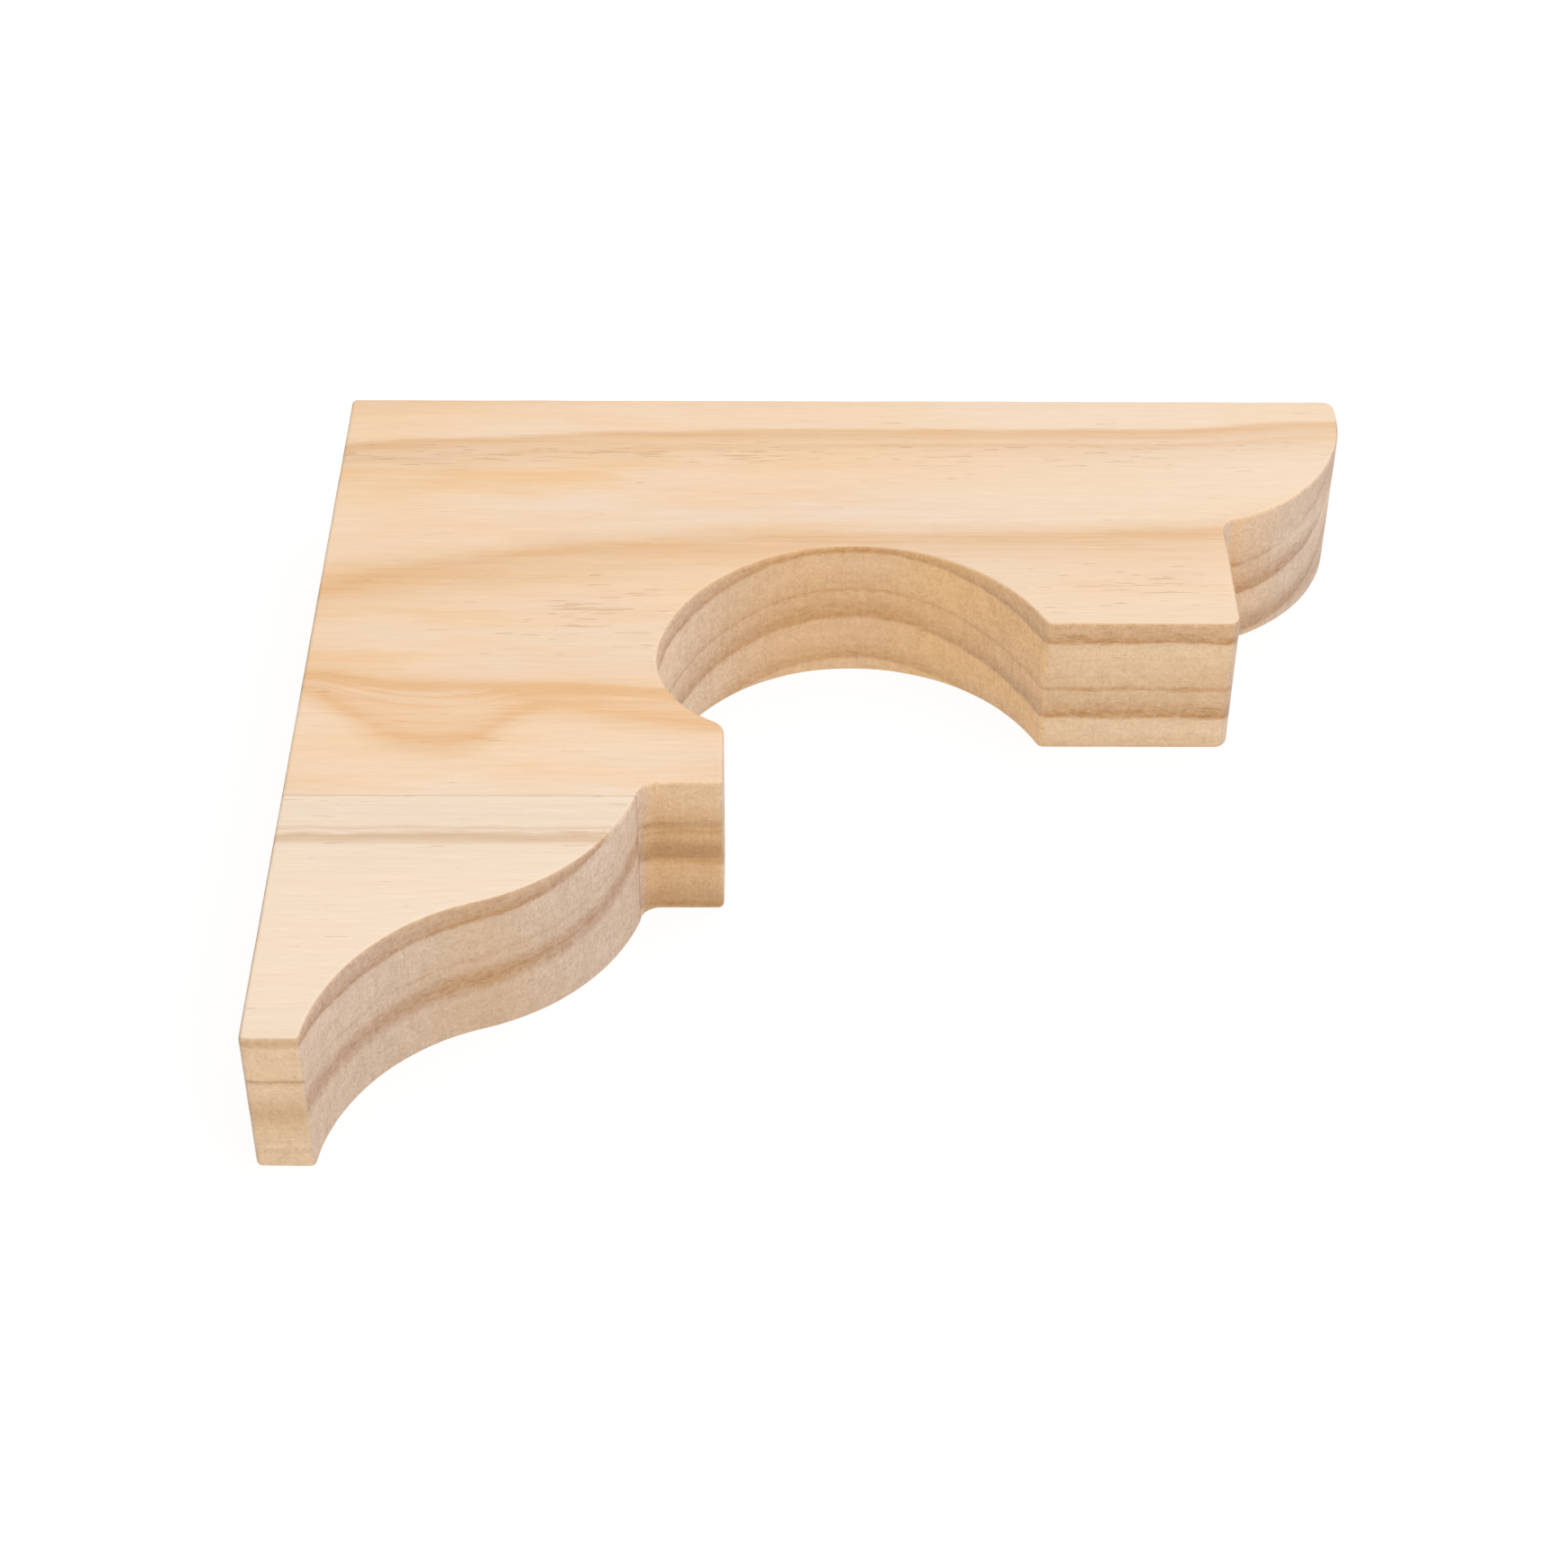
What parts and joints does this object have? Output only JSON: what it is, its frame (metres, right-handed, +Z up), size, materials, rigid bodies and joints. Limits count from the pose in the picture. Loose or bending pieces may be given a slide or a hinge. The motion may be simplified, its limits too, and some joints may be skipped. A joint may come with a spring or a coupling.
{
  "type": "corbel bracket",
  "caption": "Wooden corbel bracket cut from one board, with straight wall and shelf faces, a round nose, square front block, round arch, small back block and an ogee tail.",
  "frame": {"origin": "middle of the flat wall face, half way up its height and half way across the thickness", "axes": "+X runs straight out from the wall to the nose, +Z is up to the shelf face, Y runs across the thickness"},
  "size_m": [0.25, 0.038, 0.229],
  "materials": {
    "pine": "planed and sanded bare softwood"
  },
  "bodies": {
    "root": {"bracket": "pine"}
  },
  "joints": []
}
